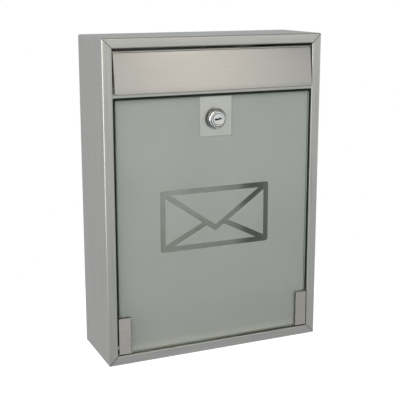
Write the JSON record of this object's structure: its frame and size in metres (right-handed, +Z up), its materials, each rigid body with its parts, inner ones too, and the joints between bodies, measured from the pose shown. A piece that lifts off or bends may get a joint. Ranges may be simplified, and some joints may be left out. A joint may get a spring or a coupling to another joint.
{
  "type": "wall mailbox",
  "caption": "Wall mounted mailbox: folded steel case, tilted mail flap on a hinge rod and a frosted glass door with a cam lock that swings down on pins.",
  "frame": {"origin": "centre of the rear face, where the rear plate meets the wall, which is also the centre of the four wall holes", "axes": "+X to the right seen from the front, +Y into the wall, +Z up"},
  "size_m": [0.282, 0.0987, 0.39],
  "materials": {
    "case_steel": "satin stainless, 1 mm sheet, folded",
    "plate_steel": "satin stainless, 1 mm sheet",
    "bar_steel": "satin stainless, folded",
    "flap_steel": "satin stainless, brushed along its length",
    "clip_steel": "satin stainless, folded",
    "window_plate": "fine satin stainless",
    "zinc_steel": "bright zinc plate",
    "lock_chrome": "polished chrome plate",
    "wafer_brass": "stamped brass",
    "door_glass": "clear float glass with seamed edges",
    "frost_print": "frosted print",
    "black_rubber": "matt moulded rubber",
    "white_nylon": "moulded nylon"
  },
  "bodies": {
    "case": {"body_shell": "case_steel", "back_panel": "plate_steel", "crossbar": "bar_steel", "crossbar_rivets": "zinc_steel", "flap_hinge_rod": "zinc_steel", "flap_rod_clips": "zinc_steel", "flap_bumpers": "black_rubber", "door_seal": "black_rubber", "door_side_seals": "black_rubber", "hinge_bushes": "white_nylon"},
    "flap": {"mail_flap": "flap_steel"},
    "door": {"glass_panel": "door_glass", "frosted_print": "frost_print", "lock_plate": "window_plate", "lock_gasket": "black_rubber", "lock_housing": "lock_chrome", "lock_nut": "zinc_steel", "hinge_clip_left": "clip_steel", "hinge_clip_right": "clip_steel", "clip_liner_left": "black_rubber", "clip_liner_right": "black_rubber", "hinge_pin_left": "zinc_steel", "hinge_pin_right": "zinc_steel", "clip_screws": "zinc_steel"},
    "lock": {"lock_plug": "lock_chrome", "lock_wafers": "wafer_brass", "lock_cam": "zinc_steel", "cam_screw": "zinc_steel"}
  },
  "joints": [
    {"name": "flap_hinge", "type": "hinge", "parent": "case", "child": "flap", "pos_m": [0, -0.0882, 0.1786], "axis": [-1, 0, 0], "range_deg": [0, 80]},
    {"name": "door_hinge", "type": "hinge", "parent": "case", "child": "door", "pos_m": [0, -0.0905, -0.1735], "axis": [1, 0, 0], "range_deg": [0, 125]},
    {"name": "lock_turn", "type": "hinge", "parent": "door", "child": "lock", "pos_m": [0, -0.092, 0.097], "axis": [0, 1, 0], "range_deg": [0, 90]}
  ]
}
